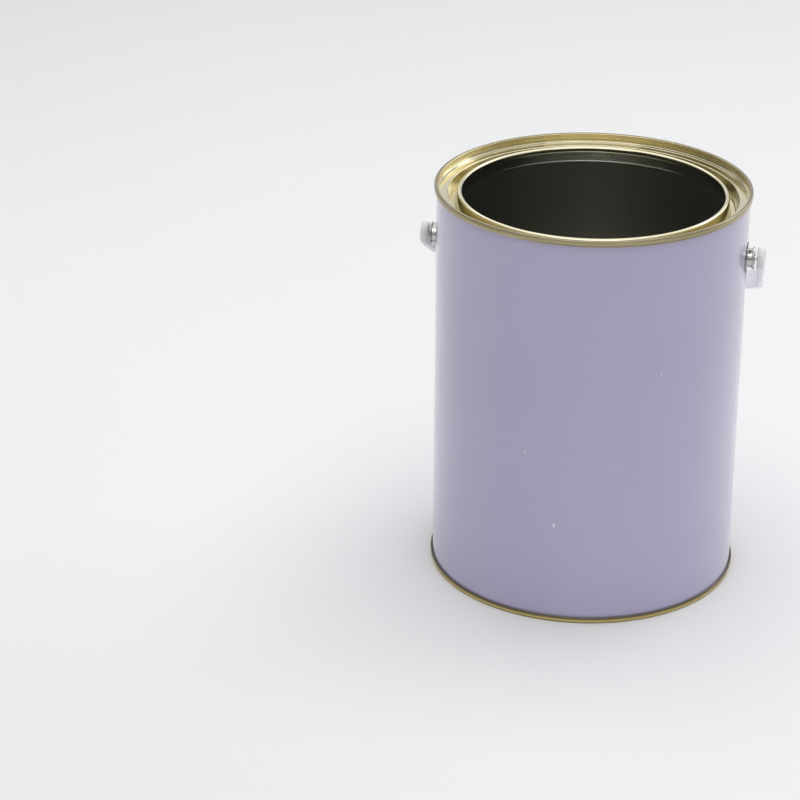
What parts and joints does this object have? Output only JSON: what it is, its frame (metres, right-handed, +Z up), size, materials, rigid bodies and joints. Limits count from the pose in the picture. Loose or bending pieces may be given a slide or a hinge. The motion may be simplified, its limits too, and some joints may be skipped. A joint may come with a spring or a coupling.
{
  "type": "paint can",
  "caption": "Tall open round tinplate can with a grooved ring for a push-in lid, double seams, welded ears and a swinging plastic strap handle.",
  "frame": {"origin": "on the can's axis, in the plane of the bottom seam that the can stands on", "axes": "+Z up along the can's axis, +X through the right ear along the handle's pivot axis, +Y to the back, where the handle rests"},
  "size_m": [0.1954, 0.1866, 0.2313],
  "materials": {
    "wall_enamel": "gloss lilac enamel outside, bare tinplate inside",
    "gold_lacquer": "clear gold lacquer over tinplate",
    "seam_compound": "matte",
    "bright_tin": "bright pressed tinplate",
    "stud_steel": "bright nickel plate",
    "strap_plastic": "milky translucent, satin"
  },
  "bodies": {
    "can": {"can_body": "wall_enamel", "top_ring": "gold_lacquer", "bottom_end": "gold_lacquer", "top_seam_compound": "seam_compound", "bottom_seam_compound": "seam_compound", "ear_left": "bright_tin", "ear_right": "bright_tin", "stud_left": "stud_steel", "stud_right": "stud_steel"},
    "handle": {"handle": "strap_plastic"}
  },
  "joints": [
    {"name": "handle_swing", "type": "hinge", "parent": "can", "child": "handle", "pos_m": [0, 0, 0.1946], "axis": [1, 0, 0], "range_deg": [0, 240.8]}
  ]
}
